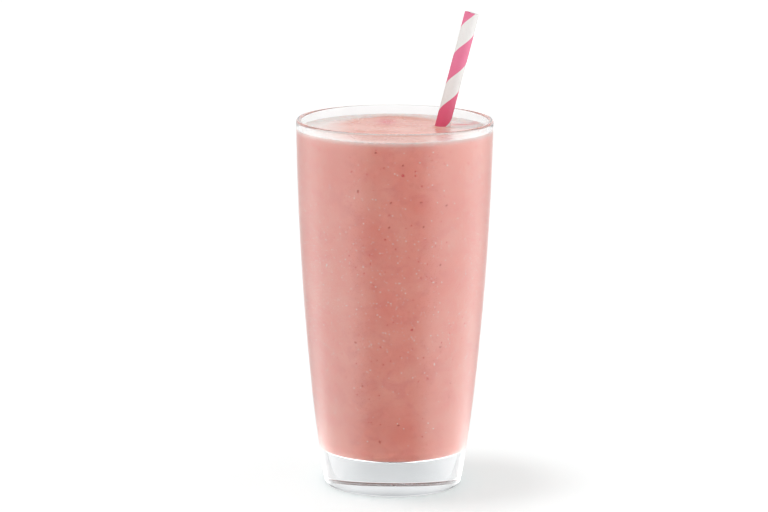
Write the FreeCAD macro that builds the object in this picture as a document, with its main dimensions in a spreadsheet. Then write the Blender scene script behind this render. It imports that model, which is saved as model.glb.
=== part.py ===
import FreeCAD, Part
import Sketcher
import math
import os

# A strawberry smoothie in a tall tumbler with a thick clear base, and a striped
# paper straw that stands in the drink and leans to the right.
# Millimetres, Z up, origin at the centre of the foot on the table plane.
# Three pieces: the glass, the drink that fills it, and the straw.

doc = FreeCAD.newDocument("strawberry_smoothie")
V = FreeCAD.Vector

# ---------------------------------------------------------------- driving sizes
sheet = doc.addObject("Spreadsheet::Sheet", "sizes")
DRIVING = [
    ("glass_height", 150.5, "foot to rim"),
    ("rim_radius", 40.0, "outside radius at the rim"),
    ("widest_height", 167.7, "height where the side would stand upright"),
    ("upper_bow", 1235.5, "radius of the side above the knee, in profile"),
    ("lower_bow", 500.0, "radius of the side below the knee, in profile"),
    ("knee_height", 40.0, "height where the two bows meet"),
    ("wall", 2.0, "thickness of the side"),
    ("lip_round", 0.9, "rounding of both edges of the rim"),
    ("base_thick", 14.3, "clear glass under the drink"),
    ("floor_round", 6.0, "rounding between floor and side, inside"),
    ("foot_round", 1.0, "rounding under the outside of the foot"),
    ("ring_width", 7.2, "from the outer corner of the foot in to the hollow under the base"),
    ("punt_depth", 0.7, "depth of that hollow at its centre"),
    ("headspace", 4.6, "flat surface of the drink below the rim"),
    ("meniscus_rise", 1.0, "climb of the drink at the glass"),
    ("meniscus_width", 2.6, "width of that climb"),
    ("meniscus_edge", 0.12, "width of its top edge against the glass"),
    ("straw_radius", 3.0, "outside radius of the straw"),
    ("straw_wall", 0.5, "thickness of the rolled paper"),
    ("straw_length", 183.0, "length of the straw"),
    ("straw_lean", 14.6, "angle from upright"),
    ("straw_heading", 11.6, "direction of the lean, from +X towards +Y"),
    ("straw_x", 19.15, "straw axis at the surface of the drink"),
    ("straw_y", 8.3, "straw axis at the surface of the drink"),
    ("straw_gap", 0.3, "drink between the straw's lowest edge and the floor"),
]

# ------------------------------------------------------- sizes that follow them
DERIVED = [
    ("bow_offset", "sqrt(upper_bow^2 - (widest_height - glass_height)^2) - rim_radius",
     "centre of the upper bow beyond the axis"),
    ("knee_radius", "sqrt(upper_bow^2 - (widest_height - knee_height)^2) - bow_offset",
     "outside radius at the knee"),
    ("knee_slant", "(widest_height - knee_height) / upper_bow", "fall of the normal at the knee"),
    ("low_centre_x", "knee_radius - lower_bow * (knee_radius + bow_offset) / upper_bow",
     "centre of the lower bow"),
    ("low_centre_z", "knee_height + lower_bow * knee_slant", "centre of the lower bow"),
    ("foot_radius", "low_centre_x + sqrt(lower_bow^2 - low_centre_z^2)", "outside radius at the table"),
    ("punt_radius", "foot_radius - ring_width", "radius of the hollow under the base"),
    ("lip_rounding", "min(lip_round; 0.45 * wall)", "lip rounding, within the wall"),
    ("drink_level", "glass_height - headspace", "flat surface of the drink"),
    ("contact_level", "drink_level + meniscus_rise", "top of the drink at the glass"),
    ("contact_radius", "sqrt((upper_bow - wall)^2 - (widest_height - contact_level)^2) - bow_offset",
     "inside of the glass at the top of the drink"),
    ("edge_radius", "contact_radius - meniscus_edge", "inner edge of the top of the meniscus"),
    ("flat_radius", "edge_radius - meniscus_width", "edge of the flat surface"),
    ("cove_radius", "(meniscus_width^2 + meniscus_rise^2) / (2 * meniscus_rise)",
     "hollow curve of the meniscus"),
    ("punt_bow", "(punt_radius^2 + punt_depth^2) / (2 * punt_depth)", "curve of the hollow underneath"),
    ("straw_bore", "straw_radius - straw_wall", "inside radius of the straw"),
    ("straw_foot_z", "base_thick + straw_gap + straw_radius * sin(straw_lean * 1 deg)",
     "centre of the straw's lower end"),
    ("straw_run", "(drink_level - straw_foot_z) * tan(straw_lean * 1 deg)",
     "sideways way of the straw through the drink"),
    ("straw_foot_x", "straw_x - straw_run * cos(straw_heading * 1 deg)", "centre of the lower end"),
    ("straw_foot_y", "straw_y - straw_run * sin(straw_heading * 1 deg)", "centre of the lower end"),
]

for row, (name, value, note) in enumerate(DRIVING, 1):
    sheet.set("A%d" % row, name)
    sheet.set("B%d" % row, str(value))
    sheet.setAlias("B%d" % row, name)
    sheet.set("C%d" % row, note)
for row, (name, formula, note) in enumerate(DERIVED, len(DRIVING) + 2):
    sheet.set("A%d" % row, name)
    sheet.set("B%d" % row, "=" + formula)
    sheet.setAlias("B%d" % row, name)
    sheet.set("C%d" % row, note)
doc.recompute()


def size(name):
    """The present value of a named size, in millimetres or degrees."""
    return float(sheet.get(name))


# ------------------------------------------------------------- sketching helpers
def new_body(name, label):
    """An empty body with a name and a label."""
    body = doc.addObject("PartDesign::Body", name)
    body.Label = label
    return body


def new_sketch(body, name, role):
    """A sketch on one of the body's own origin planes."""
    sketch = body.newObject("Sketcher::SketchObject", name)
    plane = [item for item in body.Origin.OriginFeatures if item.Role == role][0]
    sketch.AttachmentSupport = [(plane, "")]
    sketch.MapMode = "FlatFace"
    return sketch


def bind(sketch, constraint, expression):
    """Add a measured constraint and tie it to the sheet."""
    index = sketch.addConstraint(constraint)
    sketch.setExpression("Constraints[%d]" % index, expression)


def add_line(sketch, start, end):
    """A straight edge between two points of the profile plane."""
    return sketch.addGeometry(Part.LineSegment(V(*start, 0), V(*end, 0)), False)


def add_arc(sketch, centre, radius, start, end):
    """An arc about a centre, anticlockwise from one point to another."""
    circle = Part.Circle(V(*centre, 0), V(0, 0, 1), radius)
    first = math.atan2(start[1] - centre[1], start[0] - centre[0])
    last = math.atan2(end[1] - centre[1], end[0] - centre[0])
    return sketch.addGeometry(Part.ArcOfCircle(circle, first, last), False)


def join(sketch, *pairs):
    """Close the corners of a profile, end to start."""
    for one, one_end, two, two_end in pairs:
        sketch.addConstraint(Sketcher.Constraint("Coincident", one, one_end, two, two_end))


def side_radius(inset, level):
    """Radius of the side, moved inwards by inset, at a height above the table."""
    knee_level = size("knee_height") + inset * size("knee_slant")
    if level > knee_level:
        reach = size("upper_bow") - inset
        return math.sqrt(reach ** 2 - (size("widest_height") - level) ** 2) - size("bow_offset")
    reach = size("lower_bow") - inset
    return math.sqrt(reach ** 2 - (size("low_centre_z") - level) ** 2) + size("low_centre_x")


def side_profile(sketch, inset, inset_text, low_text, high_text, low, high):
    """Half section of a solid of revolution under the two tangent bows of the side.

    The upper bow has its centre beyond the axis at the widest height; the lower bow
    carries on from it without a corner at the knee. Both are moved inwards by inset.
    """
    up_c = (-size("bow_offset"), size("widest_height"))
    up_r = size("upper_bow") - inset
    low_c = (size("low_centre_x"), size("low_centre_z"))
    low_r = size("lower_bow") - inset
    knee_level = size("knee_height") + inset * size("knee_slant")
    bottom = (side_radius(inset, low), low)
    knee = (side_radius(inset, knee_level), knee_level)
    top = (side_radius(inset, high), high)
    floor = add_line(sketch, (0, low), bottom)
    lower = add_arc(sketch, low_c, low_r, bottom, knee)
    upper = add_arc(sketch, up_c, up_r, knee, top)
    cap = add_line(sketch, top, (0, high))
    axis = add_line(sketch, (0, high), (0, low))
    join(sketch, (floor, 2, lower, 1), (upper, 2, cap, 1), (cap, 2, axis, 1), (axis, 2, floor, 1))
    sketch.addConstraint(Sketcher.Constraint("Tangent", lower, 2, upper, 1))
    sketch.addConstraint(Sketcher.Constraint("Horizontal", floor))
    sketch.addConstraint(Sketcher.Constraint("Horizontal", cap))
    sketch.addConstraint(Sketcher.Constraint("PointOnObject", floor, 1, -2))
    sketch.addConstraint(Sketcher.Constraint("PointOnObject", cap, 2, -2))
    bind(sketch, Sketcher.Constraint("Radius", upper, up_r), "sizes.upper_bow - " + inset_text)
    bind(sketch, Sketcher.Constraint("Radius", lower, low_r), "sizes.lower_bow - " + inset_text)
    bind(sketch, Sketcher.Constraint("DistanceX", upper, 3, -1, 1, -up_c[0]), "sizes.bow_offset")
    bind(sketch, Sketcher.Constraint("DistanceY", -1, 1, upper, 3, up_c[1]), "sizes.widest_height")
    # Both knees lie on one line through the upper centre, so the inner one is a little higher.
    knee_text = "sizes.knee_height + %s * sizes.knee_slant" % inset_text
    bind(sketch, Sketcher.Constraint("DistanceY", -1, 1, upper, 1, knee[1]), knee_text)
    bind(sketch, Sketcher.Constraint("DistanceY", -1, 1, cap, 1, high), high_text)
    if low == 0:
        sketch.addConstraint(Sketcher.Constraint("PointOnObject", floor, 2, -1))
    else:
        bind(sketch, Sketcher.Constraint("DistanceY", -1, 1, floor, 2, low), low_text)


def turn(body, kind, name, sketch):
    """Revolve a half section about the body's upright axis, adding or removing."""
    feature = body.newObject("PartDesign::" + kind, name)
    feature.Profile = sketch
    feature.ReferenceAxis = (sketch, ["V_Axis"])
    feature.Angle = 360.0
    sketch.Visibility = False
    doc.recompute()
    return feature


def round_edges(body, name, base, places, expression):
    """Round the circular edges that lie at the given (radius, height) places."""
    names = []
    for number, edge in enumerate(base.Shape.Edges, 1):
        if edge.Degenerated or not isinstance(edge.Curve, Part.Circle):
            continue
        for radius, height in places:
            near_radius = abs(edge.Curve.Radius - radius) < 0.01
            near_height = abs(edge.Curve.Center.z - height) < 0.01
            if near_radius and near_height:
                names.append("Edge%d" % number)
    if len(names) != len(places):
        raise RuntimeError("%s found %d of %d edges" % (name, len(names), len(places)))
    fillet = body.newObject("PartDesign::Fillet", name)
    fillet.Base = (base, names)
    fillet.setExpression("Radius", expression)
    doc.recompute()
    return fillet


height = size("glass_height")
base = size("base_thick")
contact = size("contact_level")
wall = size("wall")

# ---------------------------------------------------------------------- glass
glass = new_body("GlassBody", "glass")

outer = new_sketch(glass, "OuterSection", "XZ_Plane")
side_profile(outer, 0.0, "0", "", "sizes.glass_height", 0, height)
blank = turn(glass, "Revolution", "Blank", outer)

inner = new_sketch(glass, "InnerSection", "XZ_Plane")
side_profile(inner, wall, "sizes.wall", "sizes.base_thick", "sizes.glass_height", base, height)
hollow = turn(glass, "Groove", "Hollow", inner)

# The hollow under the base leaves a flat ring, the only part that meets the table. It is so
# shallow that it meets the ring at four degrees, which needs no rounding.
punt = new_sketch(glass, "PuntSection", "XZ_Plane")
punt_radius = size("punt_radius")
punt_depth = size("punt_depth")
punt_bow = size("punt_bow")
punt_floor = add_line(punt, (0, 0), (punt_radius, 0))
punt_arc = add_arc(punt, (0, punt_depth - punt_bow), punt_bow, (punt_radius, 0), (0, punt_depth))
punt_axis = add_line(punt, (0, punt_depth), (0, 0))
join(punt, (punt_floor, 2, punt_arc, 1), (punt_arc, 2, punt_axis, 1), (punt_axis, 2, punt_floor, 1))
punt.addConstraint(Sketcher.Constraint("Coincident", punt_floor, 1, -1, 1))
punt.addConstraint(Sketcher.Constraint("PointOnObject", punt_floor, 2, -1))
punt.addConstraint(Sketcher.Constraint("PointOnObject", punt_arc, 3, -2))
punt.addConstraint(Sketcher.Constraint("PointOnObject", punt_arc, 2, -2))
bind(punt, Sketcher.Constraint("DistanceX", punt_floor, 1, punt_floor, 2, punt_radius), "sizes.punt_radius")
bind(punt, Sketcher.Constraint("DistanceY", punt_axis, 2, punt_axis, 1, punt_depth), "sizes.punt_depth")
punted = turn(glass, "Groove", "Punt", punt)

floor_radius = side_radius(wall, base)
lip_inside = side_radius(wall, height)
foot = round_edges(glass, "FootRound", punted, [(size("foot_radius"), 0)], "sizes.foot_round")
floor = round_edges(glass, "FloorRound", foot, [(floor_radius, base)], "sizes.floor_round")
lip = round_edges(glass, "LipRound", floor, [(size("rim_radius"), height), (lip_inside, height)],
                  "sizes.lip_rounding")
glass.Tip = lip

# ---------------------------------------------------------------------- straw
straw = new_body("StrawBody", "straw")
ring_sketch = new_sketch(straw, "StrawSection", "XY_Plane")
for radius_name in ("straw_radius", "straw_bore"):
    circle = Part.Circle(V(0, 0, 0), V(0, 0, 1), size(radius_name))
    index = ring_sketch.addGeometry(circle, False)
    ring_sketch.addConstraint(Sketcher.Constraint("Coincident", index, 3, -1, 1))
    bind(ring_sketch, Sketcher.Constraint("Radius", index, size(radius_name)), "sizes." + radius_name)
tube = straw.newObject("PartDesign::Pad", "Tube")
tube.Profile = ring_sketch
tube.setExpression("Length", "sizes.straw_length")
ring_sketch.Visibility = False
# A first turn about Y gives the rotation an axis, which the expressions then set.
straw.Placement.Rotation = FreeCAD.Rotation(V(0, 1, 0), size("straw_lean"))
straw.setExpression("Placement.Base.x", "sizes.straw_foot_x")
straw.setExpression("Placement.Base.y", "sizes.straw_foot_y")
straw.setExpression("Placement.Base.z", "sizes.straw_foot_z")
straw.setExpression("Placement.Rotation.Axis.x", "-sin(sizes.straw_heading * 1 deg)")
straw.setExpression("Placement.Rotation.Axis.y", "cos(sizes.straw_heading * 1 deg)")
straw.setExpression("Placement.Rotation.Angle", "sizes.straw_lean * 1 deg")
doc.recompute()

# ------------------------------------------------------------------- smoothie
# The drink fills the inside of the glass up to its contact line, less the hollow
# curve of the meniscus, less the paper of the straw: the straw's bore is full too.
fill = new_body("FillBody", "smoothie_fill")
fill_sketch = new_sketch(fill, "FillSection", "XZ_Plane")
side_profile(fill_sketch, wall, "sizes.wall", "sizes.base_thick", "sizes.contact_level", base, contact)
fill_blank = turn(fill, "Revolution", "Fill", fill_sketch)
fill_floor = round_edges(fill, "FillRound", fill_blank, [(floor_radius, base)], "sizes.floor_round")

level = size("drink_level")
flat_radius = size("flat_radius")
edge_radius = size("edge_radius")
cove_radius = size("cove_radius")
dish = new_sketch(fill, "MeniscusSection", "XZ_Plane")
flat = add_line(dish, (0, level), (flat_radius, level))
cove = add_arc(dish, (flat_radius, level + cove_radius), cove_radius,
               (flat_radius, level), (edge_radius, contact))
brim = add_line(dish, (edge_radius, contact), (0, contact))
dish_axis = add_line(dish, (0, contact), (0, level))
join(dish, (flat, 2, cove, 1), (cove, 2, brim, 1), (brim, 2, dish_axis, 1), (dish_axis, 2, flat, 1))
dish.addConstraint(Sketcher.Constraint("Horizontal", flat))
dish.addConstraint(Sketcher.Constraint("Horizontal", brim))
dish.addConstraint(Sketcher.Constraint("PointOnObject", flat, 1, -2))
dish.addConstraint(Sketcher.Constraint("PointOnObject", brim, 2, -2))
bind(dish, Sketcher.Constraint("DistanceX", flat, 1, flat, 2, flat_radius), "sizes.flat_radius")
bind(dish, Sketcher.Constraint("DistanceX", brim, 2, brim, 1, edge_radius), "sizes.edge_radius")
bind(dish, Sketcher.Constraint("DistanceY", -1, 1, flat, 1, level), "sizes.drink_level")
bind(dish, Sketcher.Constraint("DistanceY", -1, 1, brim, 2, contact), "sizes.contact_level")
bind(dish, Sketcher.Constraint("Radius", cove, cove_radius), "sizes.cove_radius")
turn(fill, "Groove", "Meniscus", dish)

smoothie = doc.addObject("Part::Cut", "Smoothie")
smoothie.Label = "smoothie"
smoothie.Base = fill
smoothie.Tool = straw
doc.recompute()

# ------------------------------------------------------------- checks and files
for item in doc.Objects:
    if "Invalid" in item.State or "Error" in item.State:
        raise RuntimeError("%s is %s" % (item.Name, item.State))

PIECES = [glass, smoothie, straw]
os.makedirs("parts", exist_ok=True)
for piece in PIECES:
    shape = piece.Shape
    if shape.isNull() or not shape.isValid() or len(shape.Solids) != 1:
        raise RuntimeError("%s is not one sound solid" % piece.Label)
    shape.exportStep("parts/%s.step" % piece.Label)
    box = shape.optimalBoundingBox()
    print("%s: %.1f cm3, X %.2f..%.2f  Y %.2f..%.2f  Z %.2f..%.2f mm" % (
        piece.Label, shape.Volume / 1000, box.XMin, box.XMax, box.YMin, box.YMax, box.ZMin, box.ZMax))
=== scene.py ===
# %% [markdown]
# # A strawberry smoothie in a tall tumbler
# The real thing is three objects resting in each other: a pressed glass tumbler with a thick clear
# base, a thick milky drink that wets it, and a rolled paper straw that stands in the drink.
# The construction model gives their sizes and places. This script gives them their finish, and
# redraws each one as a finer surface, because clear glass shows every flat facet that is behind it.

# %% Open the construction model
import math

import bpy
import numpy as np
from mathutils import Matrix, Vector


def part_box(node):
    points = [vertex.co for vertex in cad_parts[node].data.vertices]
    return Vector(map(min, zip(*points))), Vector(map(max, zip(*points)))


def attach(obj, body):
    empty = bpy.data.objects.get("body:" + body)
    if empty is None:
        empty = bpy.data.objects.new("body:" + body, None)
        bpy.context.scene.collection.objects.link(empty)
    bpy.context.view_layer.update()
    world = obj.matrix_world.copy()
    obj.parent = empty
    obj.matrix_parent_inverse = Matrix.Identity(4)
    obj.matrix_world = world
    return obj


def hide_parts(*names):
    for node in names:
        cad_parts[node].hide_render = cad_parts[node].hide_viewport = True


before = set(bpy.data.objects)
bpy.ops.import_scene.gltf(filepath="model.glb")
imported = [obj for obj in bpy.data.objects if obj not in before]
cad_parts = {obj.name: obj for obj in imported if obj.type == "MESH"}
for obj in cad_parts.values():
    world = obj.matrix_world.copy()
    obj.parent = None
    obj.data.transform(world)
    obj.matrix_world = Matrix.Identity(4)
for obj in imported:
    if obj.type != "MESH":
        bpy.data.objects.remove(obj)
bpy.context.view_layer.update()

# %% [markdown]
# ## Driving sizes
# The maker of the glass thinks in millimetres and Blender in metres, so the sizes stay in millimetres and
# one factor turns them into metres when a mesh is made. They are the same driving sizes as the construction
# model's, and the glass's height, the top of the drink and the thickness of the base are measured from the
# loaded nodes.

# %% Sizes of the glass, the drink and the straw, in millimetres
MM = 0.001
GLASS_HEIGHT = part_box("glass")[1][2] / MM
DRINK_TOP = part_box("smoothie")[1][2] / MM
RIM_RADIUS = 40.0
WIDEST_HEIGHT = 167.7
UPPER_BOW = 1235.5
LOWER_BOW = 500.0
KNEE_HEIGHT = 40.0
WALL = 2.0
LIP_ROUND = 0.9
BASE_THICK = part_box("smoothie")[0][2] / MM
FLOOR_ROUND = 6.0
FOOT_ROUND = 1.0
RING_WIDTH = 7.2
PUNT_DEPTH = 0.7
MENISCUS_RISE = 1.0
MENISCUS_WIDTH = 2.6
MENISCUS_EDGE = 0.12
DRINK_LEVEL = DRINK_TOP - MENISCUS_RISE
STRAW_RADIUS = 3.0
STRAW_WALL = 0.5
STRAW_LENGTH = 183.0
STRAW_LEAN = math.radians(14.6)
STRAW_HEADING = math.radians(11.6)
STRAW_X = 19.15
STRAW_Y = 8.3
print("glass %.1f mm tall, drink up to %.1f mm, base %.1f mm" % (GLASS_HEIGHT, DRINK_TOP, BASE_THICK))

# %% [markdown]
# ## The side of the glass
# A tumbler is blown or pressed in a turned mould, so its side is one profile spun round an axis.
# Here the profile is two long bows that meet without a corner at the knee: a wide, almost straight
# one up to the rim, and a tighter one that tucks in towards the foot. The inside is the same line
# moved in by the wall, so one function with an inset serves the glass and the drink.

# %% Radius of the side at any height
BOW_OFFSET = math.sqrt(UPPER_BOW ** 2 - (WIDEST_HEIGHT - GLASS_HEIGHT) ** 2) - RIM_RADIUS
KNEE_RADIUS = math.sqrt(UPPER_BOW ** 2 - (WIDEST_HEIGHT - KNEE_HEIGHT) ** 2) - BOW_OFFSET
KNEE_SLANT = (WIDEST_HEIGHT - KNEE_HEIGHT) / UPPER_BOW
LOW_CENTRE_X = KNEE_RADIUS - LOWER_BOW * (KNEE_RADIUS + BOW_OFFSET) / UPPER_BOW
LOW_CENTRE_Z = KNEE_HEIGHT + LOWER_BOW * KNEE_SLANT


def side_radius(height, inset=0.0):
    """Radius of the side at these heights: the upper circle above the knee, the lower one below.

    Each is centre offset plus the root of (bow squared less height from the centre squared), with
    the bow shortened by the inset.
    """
    height = np.asarray(height, float)
    upper = np.sqrt((UPPER_BOW - inset) ** 2 - (WIDEST_HEIGHT - height) ** 2) - BOW_OFFSET
    lower = np.sqrt((LOWER_BOW - inset) ** 2 - (LOW_CENTRE_Z - height) ** 2) + LOW_CENTRE_X
    return np.where(height > KNEE_HEIGHT + inset * KNEE_SLANT, upper, lower)


FOOT_RADIUS = float(side_radius(0.0))
PUNT_RADIUS = FOOT_RADIUS - RING_WIDTH
print("foot radius %.2f, rim radius %.2f" % (FOOT_RADIUS, side_radius(GLASS_HEIGHT)))


# %% [markdown]
# ## Rounded corners
# Fire polishing rounds every edge of the glass. In profile each corner becomes an arc that touches
# both of its edges, and its centre lies on the line that halves the corner.

# %% An arc that rounds a corner of a profile
def round_corner(corner, before, after, radius, steps=12):
    """Points of the arc that touches two edges leaving the corner in the given directions.

    The centre lies on the bisector at radius / sin(half the angle), and the arc starts and ends
    radius / tan(half the angle) away from the corner.
    """
    corner = np.array(corner, float)
    before = np.array(before, float) / np.linalg.norm(before)
    after = np.array(after, float) / np.linalg.norm(after)
    bisector = (before + after) / np.linalg.norm(before + after)
    half = math.acos(float(np.clip(before @ bisector, -1, 1)))
    centre = corner + bisector * radius / math.sin(half)
    first = corner + before * radius / math.tan(half) - centre
    last = corner + after * radius / math.tan(half) - centre
    start = math.atan2(first[1], first[0])
    turn = (math.atan2(last[1], last[0]) - start + math.pi) % (2 * math.pi) - math.pi
    angle = start + turn * np.linspace(0, 1, steps)
    return centre + radius * np.stack([np.cos(angle), np.sin(angle)], -1)


def side_slope(height, inset=0.0):
    """Direction of the side at this height, upwards, from a small step along it."""
    step = 0.05
    run = float(side_radius(height + step, inset) - side_radius(height - step, inset))
    return np.array([run, 2 * step]) / math.hypot(run, 2 * step)


print("the side leans out %.1f degrees at the foot and %.1f at the rim" % tuple(
    math.degrees(math.asin(side_slope(height)[0])) for height in (0.5, GLASS_HEIGHT)))

# %% [markdown]
# ## Spinning a profile into a closed mesh
# A lathe turns a profile round an axis. In a mesh that is a grid: one row for each profile point,
# one column for each turn angle. The two ends lie on the axis, where a whole row shrinks to one
# point, so a fan of triangles closes each end and the result is watertight.

# %% From arrays of corners to a Blender mesh
def make_piece(name, corners, faces, material, body="root"):
    """A smooth-shaded object from corner positions in millimetres and lists of face corners.

    The faces are flipped if the enclosed volume, the sum of the tetrahedra from the origin, is
    negative, so that they always face outwards.
    """
    corners = np.asarray(corners, float)
    volume = sum(
        np.einsum("ij,ij->i", corners[f[:, 0]], np.cross(corners[f[:, k]], corners[f[:, k + 1]])).sum()
        for f in faces for k in range(1, f.shape[1] - 1)) / 6
    if volume < 0:
        faces = [f[:, ::-1] for f in faces]
    sizes = np.concatenate([np.full(len(f), f.shape[1]) for f in faces])
    mesh = bpy.data.meshes.new(name)
    mesh.vertices.add(len(corners))
    mesh.vertices.foreach_set("co", (corners * MM).ravel())
    mesh.loops.add(int(sizes.sum()))
    mesh.loops.foreach_set("vertex_index", np.concatenate([f.ravel() for f in faces]).astype(np.int32))
    mesh.polygons.add(len(sizes))
    mesh.polygons.foreach_set("loop_start", np.concatenate([[0], np.cumsum(sizes)[:-1]]).astype(np.int32))
    mesh.polygons.foreach_set("use_smooth", np.ones(len(sizes), bool))
    mesh.update(calc_edges=True)
    mesh.validate()
    mesh.materials.append(material)
    piece = bpy.data.objects.new(name, mesh)
    bpy.context.scene.collection.objects.link(piece)
    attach(piece, body)
    triangles = int((sizes - 2).sum())
    print("%s: %d triangles, %.1f cm3" % (name, triangles, abs(volume) / 1000))
    return piece


def grid_faces(rows, columns, first=0):
    """Four-cornered faces of a grid whose last column joins its first, rows by columns of corners."""
    row, column = np.meshgrid(np.arange(rows - 1), np.arange(columns), indexing="ij")
    beside = (column + 1) % columns
    faces = np.stack([row * columns + column, row * columns + beside,
                      (row + 1) * columns + beside, (row + 1) * columns + column], -1)
    return faces.reshape(-1, 4) + first


def spun_faces(rows, columns):
    """Faces of rows of corners between two poles: a fan, the grid, a fan. The poles come last."""
    bottom, top = rows * columns, rows * columns + 1
    here = np.arange(columns)
    beside = (here + 1) % columns
    low_fan = np.stack([np.full(columns, bottom), beside, here], -1)
    last = (rows - 1) * columns
    high_fan = np.stack([np.full(columns, top), last + here, last + beside], -1)
    return [grid_faces(rows, columns), low_fan, high_fan]


def spun_corners(profile, columns):
    """Corners of a profile of (radius, height) rows turned in equal steps, its end points as poles."""
    turn = np.linspace(0, 2 * np.pi, columns, endpoint=False)
    rows = profile[1:-1]
    ring = np.stack([np.cos(turn), np.sin(turn)], -1)
    corners = np.empty((len(rows), columns, 3))
    corners[..., :2] = rows[:, None, :1] * ring
    corners[..., 2] = rows[:, 1:]
    poles = np.array([[0, 0, profile[0][1]], [0, 0, profile[-1][1]]])
    return np.concatenate([corners.reshape(-1, 3), poles])


# %% [markdown]
# ## Finishes: the shared effect
# Food, paper and glass are never quite even. A soft cloud of variation is therefore built once, as a
# node group with named inputs. Each material places it with its own scale and contrast: large for
# colour and gloss, and very fine for the height of its bump.

# %% Node helpers
def new_group(name, inputs, outputs):
    """An empty node group with named sockets. Each is (name, socket type, default or None)."""
    group = bpy.data.node_groups.new(name, "ShaderNodeTree")
    for label, kind, default in inputs:
        socket = group.interface.new_socket(label, in_out="INPUT", socket_type=kind)
        if default is not None:
            socket.default_value = default
    for label, kind in outputs:
        group.interface.new_socket(label, in_out="OUTPUT", socket_type=kind)
    return group, group.nodes.new("NodeGroupInput"), group.nodes.new("NodeGroupOutput")


def node(tree, kind, links=None, **settings):
    """A new node with its settings made and its inputs linked or set by name or number."""
    made = tree.nodes.new(kind)
    for key, value in settings.items():
        setattr(made, key, value)
    for key, value in (links or {}).items():
        if isinstance(value, bpy.types.NodeSocket):
            tree.links.new(value, made.inputs[key])
        else:
            made.inputs[key].default_value = value
    return made


def math_node(tree, operation, *values):
    """The result socket of one Math node."""
    return node(tree, "ShaderNodeMath", dict(enumerate(values)), operation=operation).outputs[0]


# %% The soft cloud group
def soft_cloud_group():
    """Soft clouds in space: noise stretched between 0 and 1 around its middle by a contrast."""
    group, inlet, outlet = new_group(
        "soft cloud",
        [("Vector", "NodeSocketVector", None), ("Scale", "NodeSocketFloat", 60.0),
         ("Detail", "NodeSocketFloat", 3.0), ("Contrast", "NodeSocketFloat", 2.0),
         ("Twist", "NodeSocketFloat", 0.0)],
        [("Mask", "NodeSocketFloat")])
    noise = node(group, "ShaderNodeTexNoise", {
        "Vector": inlet.outputs["Vector"], "Scale": inlet.outputs["Scale"],
        "Detail": inlet.outputs["Detail"], "Distortion": inlet.outputs["Twist"]})
    centred = math_node(group, "SUBTRACT", noise.outputs[0], 0.5)
    spread = math_node(group, "MULTIPLY", centred, inlet.outputs["Contrast"])
    lifted = node(group, "ShaderNodeMath", {0: spread, 1: 0.5}, operation="ADD", use_clamp=True)
    group.links.new(lifted.outputs[0], outlet.inputs["Mask"])
    return group


SOFT_CLOUD = soft_cloud_group()
print("shared effect:", SOFT_CLOUD.name)


def cloud(tree, vector, scale, detail=3.0, contrast=2.0, twist=0.0):
    """The mask of one soft cloud placed in a material."""
    placed = node(tree, "ShaderNodeGroup", None, node_tree=SOFT_CLOUD)
    tree.links.new(vector, placed.inputs["Vector"])
    for label, value in (("Scale", scale), ("Detail", detail), ("Contrast", contrast), ("Twist", twist)):
        placed.inputs[label].default_value = value
    return placed.outputs["Mask"]


# %% Blended colours, new materials and bump
def blend_colours(tree, mask, first, second):
    """A colour that goes from the first to the second as the mask goes from 0 to 1."""
    mix = node(tree, "ShaderNodeMix", None, data_type="RGBA", clamp_factor=True)
    for socket, value in ((mix.inputs[0], mask), (mix.inputs[6], first), (mix.inputs[7], second)):
        if isinstance(value, bpy.types.NodeSocket):
            tree.links.new(value, socket)
        else:
            socket.default_value = value
    return mix.outputs[2]


def new_material(name):
    """A material with one Principled shader. Returns the material, its tree and that shader."""
    material = bpy.data.materials.new(name)
    material.use_nodes = True
    tree = material.node_tree
    shader = tree.nodes["Principled BSDF"]
    print("finish:", name)
    return material, tree, shader


def bump(tree, height, strength, distance):
    """The normal socket of a Bump node for a height, with its distance in millimetres."""
    made = node(tree, "ShaderNodeBump", {"Height": height, "Strength": strength, "Distance": distance * MM})
    return made.outputs["Normal"]


# %% [markdown]
# ## The drink's finish
# Blended strawberries and milk are opaque and milky pink, with light that wanders a few millimetres
# into them. The colour isn't flat: slow clouds of paler and redder drink, thin wisps left by the
# blades, and fine pulp. All of it comes from noise in the object's own space, so it runs through
# the drink as it does in the real one and shows alike at the side and on top.
# Three masks are painted on the mesh instead, because they belong to a place: painted shade that darkens
# the open top surface, pale froth near the glass that is also a painted highlight at the left and right and
# painted light on the shaded underside, and puree that has come to the top, with one spot of painted shade
# beside the straw.

# %% The strawberry smoothie material
MILKY_PINK = (0.96, 0.40, 0.315, 1)
DEEP_PINK = (0.92, 0.30, 0.225, 1)
PUREE_RED = (0.76, 0.17, 0.16, 1)
SURFACE_RED = (0.64, 0.065, 0.075, 1)
# Pale froth, also used as a painted highlight at the left and right of the top and as painted light on the
# shaded underside.
PALE_FROTH_AND_LIGHT = (0.80, 0.74, 0.715, 1)
# Painted shade: a darker pink for the open top surface, because more light falls on it from above.
SHADED_TOP_PINK = (0.70, 0.295, 0.22, 1)
WISP_SHARE = 0.22
PULP_SHARE = 0.18


def painted_mask(tree, name):
    """The value of a mask that is stored on the mesh's corners."""
    return node(tree, "ShaderNodeAttribute", None, attribute_name=name).outputs["Fac"]


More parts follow.
